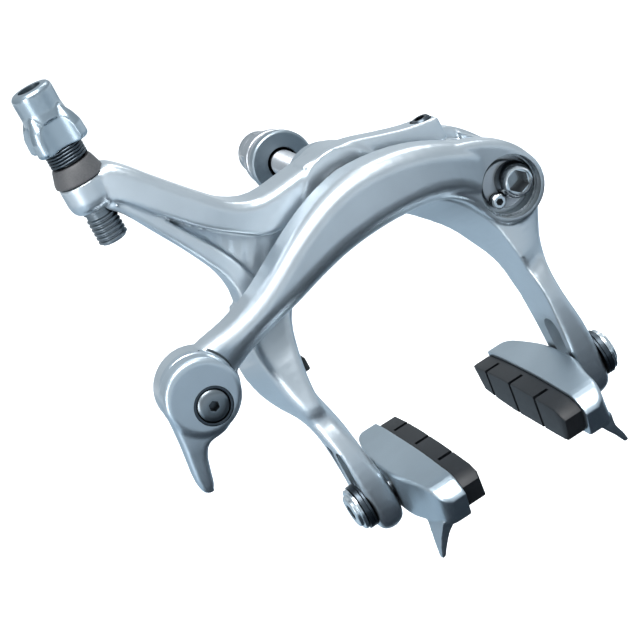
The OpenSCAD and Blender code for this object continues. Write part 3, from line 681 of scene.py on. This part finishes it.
# ---- side pivot: bolt, lock screw and ring ----
# A zinc-plated steel bolt joins the front arm to the bracket. Its polished domed head has a hexagonal socket
# and is locked by a small screw at its side, and a turned ring is pressed into the mouth of the recess.

# Polished steel: nearly a mirror, with painted shade that turns it black where its sockets go in.
polished_steel = metal("polished_steel", "#dfe3e6", 0.14, 0.4, 0.04, crevice_mm=6)
# Blackened steel: a dark oiled skin that still shows its sheen on the edges.
blackened_steel = metal("blackened_steel", "#4d555c", 0.34, 0.4, 0.5)
HEAD_X = 32
LOCK = (26.7, -18.2)

pivot_ring = turned("pivot_ring_turned",
                    [(0, 6.38), (0, 6.9), (2.3, 6.9), (2.5, 6.8), (2.5, 6.5), (2.3, 6.38)],
                    (PIVOT[0], -22, PIVOT[1]), Matrix.Rotation(math.pi, 4, "Z") @ ALONG_Y.inverted(), 96,
                    bevel=0, ring=True)
finish(pivot_ring, polished_steel, "front_arm", "bright_steel", "pivot_ring")


def hex_cutter(centre, radius, length, along=ALONG_Y, turn=0):
    """Cutter for a hexagonal socket."""
    return cylinder(centre, radius, length, along @ Matrix.Rotation(math.radians(turn), 4, "Z"), 6)


pivot_bolt = turned("pivot_bolt_domed",
                    [(-20.7, 5.0), (-20.5, 5.2), (-19.25, 5.2), (-19.2, 3.6), (-4.5, 3.6), (-4.5, 3),
                     (-0.4, 3)],
                    (PIVOT[0], 0, PIVOT[1]), ALONG_Y, bevel=0.1)
cut(pivot_bolt, cylinder((LOCK[0], -24, LOCK[1]), 1.75, 4.4, ALONG_Y, 32))
finish(pivot_bolt, zinc_steel, "frame", "steel", "pivot_bolt")
pivot_head = turned("pivot_bolt_head",
                    [(-24.6, 2.9), (-24.5, 3.15), (-24.1, 3.4), (-23.2, 3.75), (-22.2, 4.0), (-21.2, 4.15),
                     (-20.6, 4.2)],
                    (HEAD_X, 0, PIVOT[1]), ALONG_Y, bevel=0)
cut(pivot_head, cylinder((HEAD_X, -26, PIVOT[1]), 2.75, 2.0, ALONG_Y, 64),
    hex_cutter((HEAD_X, -26, PIVOT[1]), 2.6, 5.2, turn=12),
    cylinder((LOCK[0], -26, LOCK[1]), 1.75, 6.4, ALONG_Y, 32))
close_mesh(pivot_head, 30)
finish(pivot_head, polished_steel, "frame", "bright_steel")
lock_screw = turned("pivot_lock_screw", [(-22.6, 1.3), (-22.3, 1.65), (-19.8, 1.65)], (LOCK[0], 0, LOCK[1]),
                    ALONG_Y, 32, bevel=0)
cut(lock_screw, hex_cutter((LOCK[0], -23, LOCK[1]), 0.85, 2.2))
finish(lock_screw, polished_steel, "frame", "steel", "pivot_set_screw")


# ---- quick release: lever, dark washer, anchor bolt and clamp plate ----
# The lever is a forged alloy disc with a bent finger, polished and anodised. It turns on the cable anchor's
# domed bolt, in a black washer, and a round alloy plate behind it clamps the cable to the arm.
DISC = (-50.6, -16.4)
DISC_R = 8.4
LEVER_Y = -33
disc = turned("lever_disc", [(0, 7.4), (0.35, 8.1), (1.0, DISC_R), (4.4, DISC_R), (5, 8.0)],
              (DISC[0], LEVER_Y, DISC[1]), ALONG_Y, 96, bevel=0)
finger = forged_bar("lever_finger", [
    strip((-57.8, -11.6), (-45.6, -21.8), -32.5, -28.5),
    strip((-58.8, -16.6), (-46.8, -23.6), -32.5, -28.5),
    strip((-59.1, -20.2), (-49.8, -25.4), -32.4, -28.5),
    strip((-59.5, -24.2), (-53.6, -25.8), -32.3, -28.5),
    strip((-60.0, -27.6), (-55.4, -27.8), -32.1, -28.6),
    strip((-60.4, -30.8), (-56.4, -30.8), -31.9, -28.7),
    strip((-60.4, -33.2), (-57.0, -33.2), -31.7, -28.8),
    strip((-60.0, -34.8), (-57.6, -34.8), -31.5, -28.9),
    strip((-59.3, -35.5), (-58.4, -35.5), -31.2, -29.2),
], (1.2, 1.2, 0.6, 0.6))
lever = join("quick_release_lever_forged", [disc, finger])
blend_forging(lever, 0.28, 5)
cut(lever, cylinder((ANCHOR[0], LEVER_Y - 1, ANCHOR[1]), 4.3, 3.2, ALONG_Y, 64),
    cylinder((ANCHOR[0], LEVER_Y, ANCHOR[1]), 2.95, 8, ALONG_Y))
close_mesh(lever, 40)
# Polished, anodised alloy: a touch greyer than the arms, with a soft clean shine.
lever_alloy = metal("polished_anodised_lever", "#c0ccd5", 0.34, 0.6, 0.06)
finish(lever, lever_alloy, "release_lever", "lever_alloy", "quick_release_lever")

dark_ring = turned("quick_release_washer", [(0, 3.66), (0, 4.2), (1.9, 4.2), (1.9, 3.66)],
                   (ANCHOR[0], LEVER_Y + 0.05, ANCHOR[1]), ALONG_Y, 64, bevel=0.1, ring=True)
finish(dark_ring, blackened_steel, "front_arm", "dark_steel", "quick_release_ring")
anchor_bolt = turned("cable_anchor_bolt_domed",
                     [(-33.2, 2.3), (-33.05, 3.0), (-32.6, 3.5), (-32, 3.6), (-31, 3.6), (-31, 2.9),
                      (-14.5, 2.9)],
                     (ANCHOR[0], 0, ANCHOR[1]), ALONG_Y, bevel=0.06)
cut(anchor_bolt, hex_cutter((ANCHOR[0], -34.5, ANCHOR[1]), 1.2, 3, turn=10))
close_mesh(anchor_bolt, 30)
# Phosphated steel: mid grey and half dull.
grey_steel = metal("phosphated_steel_bolt", "#7d858b", 0.3, 0.4, 0.4)
finish(anchor_bolt, grey_steel, "front_arm", "dark_steel", "cable_anchor_bolt")

clamp_plate = turned("cable_clamp_plate", [(0, 7.6), (0.5, 8.1), (2.6, 8.1), (3.1, 7.7)],
                     (PLATE[0], -27.8, PLATE[1]), ALONG_Y, 96, bevel=0)
cut(clamp_plate, cylinder((ANCHOR[0], -29, ANCHOR[1]), 2.92, 6, ALONG_Y),
    cylinder((ANCHOR[0] + 3.2, -25.5, -40), 0.9, 40))
close_mesh(clamp_plate, 30)
finish(clamp_plate, lever_alloy, "front_arm", "small_alloy", "cable_anchor_plate")


# ---- barrel adjuster: seat, spring, threaded barrel and knob ----
# A threaded steel barrel goes down through the branch's boss. A seat of moulded dark nylon lies on the boss,
# a blackened wire spring on the seat, and a turned alloy knob with four milled hollows on the barrel's top.
def moulded(name, dark, light, roughness, ior, pores, tint, bump, depth_mm):
    """A moulded plastic or rubber: its two tones, and the scale and detail of its pores and of its tint."""
    material, tree, shader, place = new_material(name)
    skin = add_node(tree, "ShaderNodeTexNoise", {"Scale": pores[0], "Detail": pores[1]}, {"Vector": place})
    dust = add_node(tree, "ShaderNodeTexNoise", {"Scale": tint[0], "Detail": tint[1]}, {"Vector": place})
    tone = add_node(tree, "ShaderNodeValToRGB", None, {"Fac": dust.outputs["Fac"]})
    tone.color_ramp.elements[0].color = linear(dark)
    tone.color_ramp.elements[1].color = linear(light)
    tree.links.new(tone.outputs["Color"], shader.inputs["Base Color"])
    shader.inputs["Roughness"].default_value = roughness
    shader.inputs["IOR"].default_value = ior
    relief = add_node(tree, "ShaderNodeBump", {"Strength": bump, "Distance": depth_mm * MM},
                      {"Height": skin.outputs["Fac"]})
    tree.links.new(relief.outputs["Normal"], shader.inputs["Normal"])
    return material


# Glass-filled nylon: dark grey, half dull, specked by its fibres.
seat_plastic = moulded("moulded_glass_filled_nylon", "#37383a", "#4d4d4f", 0.5, 1.53, (2600, 3), (2600, 3),
                       0.3, 0.02)
SEAT_Z = 29.5
SPRING_Z = 34.5
seat = turned("adjuster_seat_moulded",
              [(0.85, 3.4), (0.85, 5.1), (1.2, 5.45), (2.0, 5.4), (4.6, 4.55), (5, 4.3), (5, 3.4)],
              (*ADJUSTER, SEAT_Z), ring=True, bevel=0.1)
finish(seat, seat_plastic, "rear_arm", "nylon", "adjuster_seat")

COILS = 5
COIL_R = 3.95
WIRE_R = 0.32
KNOB_Z = 38.6
KNOB_TOP = 52
COIL_GAP = 0.03
coil_rise = (KNOB_Z - SPRING_Z - 2 * WIRE_R - 2 * COIL_GAP) / COILS
nothing_selected()
bpy.ops.mesh.primitive_circle_add(vertices=10, radius=WIRE_R * MM, location=(COIL_R * MM, 0, 0),
                                  rotation=(math.pi / 2, 0, 0))
coil = bpy.context.object
coil.name = "adjuster_spring_coiled"
bpy.ops.object.transform_apply(location=True, rotation=True)
apply_modifier(coil, "SCREW", axis="Z", angle=2 * math.pi, screw_offset=coil_rise * MM, iterations=COILS,
               steps=40, render_steps=40)
nothing_selected()
bpy.context.view_layer.objects.active = coil
coil.select_set(True)
bpy.ops.object.mode_set(mode="EDIT")
bpy.ops.mesh.select_all(action="DESELECT")
bpy.ops.mesh.select_mode(type="EDGE")
bpy.ops.mesh.select_non_manifold()
bpy.ops.mesh.edge_face_add()
bpy.ops.mesh.select_mode(type="VERT")
bpy.ops.object.mode_set(mode="OBJECT")
settle(coil, Matrix.Translation(Vector((*ADJUSTER, SPRING_Z + WIRE_R + COIL_GAP)) * MM))
close_mesh(coil, 60)
finish(coil, blackened_steel, "rear_arm", "dark_steel", "adjuster_spring")

BARREL_Z = 15.6
BARREL_BORE = 1.4
THREAD_ROOT = 2.95
THREAD_CREST = 3.3
thread = []
for turn in range(6):
    thread += [(BARREL_Z + 0.3 + turn, THREAD_ROOT), (BARREL_Z + 0.55 + turn, THREAD_CREST),
               (BARREL_Z + 0.85 + turn, THREAD_CREST), (BARREL_Z + 1.1 + turn, THREAD_ROOT)]
barrel = turned("adjuster_barrel_threaded",
                [(BARREL_Z, BARREL_BORE), (BARREL_Z, 2.7), *thread, (22.8, THREAD_ROOT), (22.9, 3.25),
                 (SEAT_Z, 3.25), (SEAT_Z + 0.1, THREAD_ROOT), (KNOB_Z, THREAD_ROOT), (KNOB_Z, BARREL_BORE)],
                (*ADJUSTER, 0), ring=True, bevel=0)
finish(barrel, grey_steel, "barrel", "steel", "adjuster_barrel")



def round_adjuster(radius, degrees, z):
    """A place at that height, that far round the adjuster's axis."""
    turn = math.radians(degrees)
    return (ADJUSTER[0] + radius * math.cos(turn), ADJUSTER[1] + radius * math.sin(turn), z)


lobes = [turned("lobe", [(-0.1, 2.2), (0.5, 2.75), (3.6, 2.65), (5.6, 1.9), (8.2, 0.5)],
                round_adjuster(4.5, degrees, KNOB_Z), bevel=0, sides=32)
         for degrees in (45, 135, 225, 315)]
core = turned("core",
              [(-0.1, 4.6), (0.6, 5.1), (4.5, 5.0), (8.4, 4.5), (12.2, 4.55), (12.7, 4.5), (13.4, 3.9)],
              (*ADJUSTER, KNOB_Z), bevel=0)
knob = join("adjuster_knob_lobed", [core, *lobes])
blend_forging(knob, 0.22, 4)
for degrees in (0, 90, 180, 270):
    cut(knob, cylinder(round_adjuster(9.2, degrees, KNOB_Z - 1), 5.1, 7.4))
blend_forging(knob, 0.2, 3)
cut(knob, cylinder((*ADJUSTER, KNOB_TOP - 9), 2.6, 12), cylinder((*ADJUSTER, KNOB_Z - 1), BARREL_BORE, 20))
close_mesh(knob, 32)
# Satin anodised knob: darker than the arms, with a crisp line of light along each lobe.
knob_alloy = metal("satin_anodised_knob", "#a0aeb8", 0.3, 0.5, 0.06)
finish(knob, knob_alloy, "knob", "small_alloy", "adjuster_knob")


# ---- centring screw ----
# A small blackened socket screw, threaded down through the rear arm's tail. Its tip stands on the cam ledge
# of the front arm, so turning it moves both arms over the rim together.
centring = turned("centring_screw_socket",
                  [(-5.2, 1.2), (-4.9, 1.5), (1.0, 1.5), (1.0, 2.15), (3.5, 2.15), (3.9, 1.8)],
                  (*SCREW, 0), bevel=0)
cut(centring, hex_cutter((*SCREW, 2.2), 1.3, 4, UPRIGHT))
close_mesh(centring, 30)
finish(centring, blackened_steel, "centring", "dark_steel", "centring_screw")


# ---- nylon sliders and return spring ----
# The return spring is one bent piece of drawn stainless wire, held on the bracket. Its ends rub on two small
# sliders of moulded black nylon, each pressed on the back of a leg.

# Black nylon: nearly black, with the slight gloss of a plain mould.
black_nylon = moulded("moulded_black_nylon", "#121415", "#222629", 0.45, 1.53, (2200, 3), (2200, 3),
                      0.2, 0.02)
finish_cad(black_nylon, "right_spring_slider")
slider = slab((-27.7, -8.8, -30), (6.6, 4.2, 3.2))
slider.name = "left_slider_moulded"
apply_modifier(slider, "BEVEL", width=0.5 * MM, segments=3)
finish(slider, black_nylon, "rear_arm", "nylon", "left_spring_slider")
# Drawn wire: bright, with fine lines along it from the die.
drawn_wire = metal("drawn_stainless_wire", "#c2c6c9", 0.24, 0.3, 0.3, (1, 1, 0.15))
finish_cad(drawn_wire, "return_spring")


# ---- pad bolts and their washers ----
# A zinc-plated steel bolt with a flat stepped head and a hexagonal socket goes through each leg's slot into
# its pad holder. A blackened washer with a groove round it spreads the bolt's load on the leg.

# Bright zinc plate: cold and clear, with sharper reflections than the plain zinc.
bright_zinc = metal("bright_zinc_plate", "#cdd6dc", 0.24, 0.4, 0.05)


def outward(side):
    """Turns upright pieces to lie along X, pointing out from the middle on that side."""
    return ALONG_X if side > 0 else Matrix.Rotation(math.pi, 4, "Z") @ ALONG_X


for side, hand in ((-1, "left"), (1, "right")):
    pad_bolt = turned(hand + "_pad_bolt_turned",
                      [(18.7, 2.5), (32.1, 2.5), (32.1, 4.6), (32.3, 4.8), (32.9, 4.8), (33.1, 4.6),
                       (33.12, 3.9), (33.7, 3.7), (33.9, 3.4)],
                      (0, PAD_Y, PAD_Z), outward(side), bevel=0.05)
    cut(pad_bolt, hex_cutter((side * 32.4, PAD_Y, PAD_Z), 2.0, 3, outward(side), 20))
    close_mesh(pad_bolt, 30)
    finish(pad_bolt, bright_zinc, hand + "_fixing", "bright_steel", hand + "_pad_bolt")
    pad_washer = turned(hand + "_pad_washer_stack",
                        [(30.42, 2.55), (30.42, 5.2), (30.9, 5.2), (31.0, 5.0), (31.1, 5.2), (32.05, 5.2),
                         (32.05, 2.55)],
                        (0, PAD_Y, PAD_Z), outward(side), bevel=0.06, ring=True)
    finish(pad_washer, blackened_steel, hand + "_fixing", "dark_steel", hand + "_pad_washer")


# ---- pads: holders with rim guides, and grooved rubber blocks ----
# Die-cast alloy holders, tumbled smooth, each with a thin fin in front that guides the rim in. The blocks
# are moulded rubber with three slanting grooves, and slide into the holders from behind.

# Die-cast alloy: soft grey, duller than the forged arms.
holder_alloy = metal("tumbled_die_cast_holder", "#b3c0c9", 0.38, 0.5, 0.1)
# Brake rubber: black and matt, with a dusty bloom in patches.
rubber = moulded("moulded_brake_rubber", "#05080c", "#0b1118", 0.55, 1.52, (1800, 4), (160, 3), 0.35, 0.03)
FIN_TIP = {"left": (24.2, -39.2), "right": (22.6, -40.3)}
GROOVE_PITCH = 13.5


def pad_section(y_top, y_bottom, inner, outer, top, bottom):
    """A section across a pad: corners top-inner, bottom-inner, bottom-outer, top-outer."""
    return [(side * inner, y_top, top), (side * inner, y_bottom, bottom), (side * outer, y_bottom, bottom),
            (side * outer, y_top, top)]


def fin_section(inner, outer, z, front_inner, front_outer, back_inner, back_outer):
    """A level section across a fin: corners front-inner, back-inner, back-outer, front-outer."""
    return [(side * inner, front_inner, z), (side * inner, back_inner, z), (side * outer, back_outer, z),
            (side * outer, front_outer, z)]


for side, hand in ((-1, "left"), (1, "right")):
    shell = forged_bar("holder_shell", [
        pad_section(-48, -44.4, 15.2, 18.6, -59.4, -64.8),
        pad_section(-47, -43.8, 15.2, 20.4, -57.8, -65.7),
        pad_section(-44, -41.8, 15.2, 21.4, -55.6, -66),
        pad_section(-38, -37, 15.2, 22.2, -55.1, -66),
        pad_section(-30, -30, 15.2, 23.7, -54.6, -66),
        pad_section(-22, -22, 15.2, 23.85, -54.5, -65.9),
        pad_section(-14, -14, 15.2, 23.6, -54.6, -65.3),
        pad_section(-8, -8, 15.2, 22.6, -54.7, -64.6),
        pad_section(-1, -1, 15.2, 21.2, -55.0, -63.6),
        pad_section(1.8, 1.8, 15.2, 20, -55.3, -63.0),
        pad_section(2.8, 2.8, 15.2, 18.8, -55.7, -62.5),
    ], (0.2, 0.3, 1.6, 0.7))
    tip_x, tip_y = FIN_TIP[hand]
    fin = forged_bar("fin", [
        fin_section(17.4, 21.6, -64.2, -43.4, -43.4, -31.5, -31.5),
        fin_section(tip_x - 3.6, tip_x - 1.2, -67.2, tip_y - 2.8, tip_y - 2.6, tip_y + 4.6, tip_y + 4.2),
        fin_section(tip_x - 1.7, tip_x - 0.1, -70.2, tip_y - 1.6, tip_y - 1.5, tip_y + 2.1, tip_y + 1.9),
        fin_section(tip_x - 0.5, tip_x + 0.5, -72.6, tip_y - 0.7, tip_y - 0.7, tip_y + 0.7, tip_y + 0.7),
    ], (0, 0, 0, 0))
    holder = join(hand + "_holder_cast", [shell, fin])
    blend_forging(holder, 0.26, 5)
    cut(holder, slab((side * 10.2, PAD_Y, PAD_Z), (10, 60, 9.6)),
        cylinder((side * 17, PAD_Y, PAD_Z), 2.55, 10, outward(side)))
    close_mesh(holder, 32)
    finish(holder, holder_alloy, hand + "_block", "holder_alloy", hand + "_shoe")

    block = forged_bar(hand + "_rubber_block", [
        pad_section(-46.5, -43.2, 10.9, 15.1, -58.5, -63.8),
        pad_section(-45.6, -42.6, 10.5, 15.1, -57.3, -64.4),
        pad_section(-42.8, -40.8, 10.5, 15.1, -56.2, -64.6),
        pad_section(-36, -35.4, 10.5, 15.1, -55.8, -64.6),
        pad_section(-26, -26, 10.5, 15.1, -55.4, -64.5),
        pad_section(-14, -14, 10.5, 15.1, -55.4, -64.3),
        pad_section(-6, -6, 10.5, 15.1, -55.7, -63.6),
        pad_section(1.4, 1.4, 10.6, 15.1, -56.2, -62.8),
        pad_section(2.5, 2.5, 11.4, 15.1, -56.6, -62.5),
    ], (0.35, 0.35, 0.15, 0.15), 1)
    for index in range(3):
        cut(block, slab((side * 11.6, -5 - index * GROOVE_PITCH, PAD_Z), (5, 1.2, 14), 22))
    close_mesh(block, 32)
    finish(block, rubber, hand + "_block", "rubber", hand + "_pad")
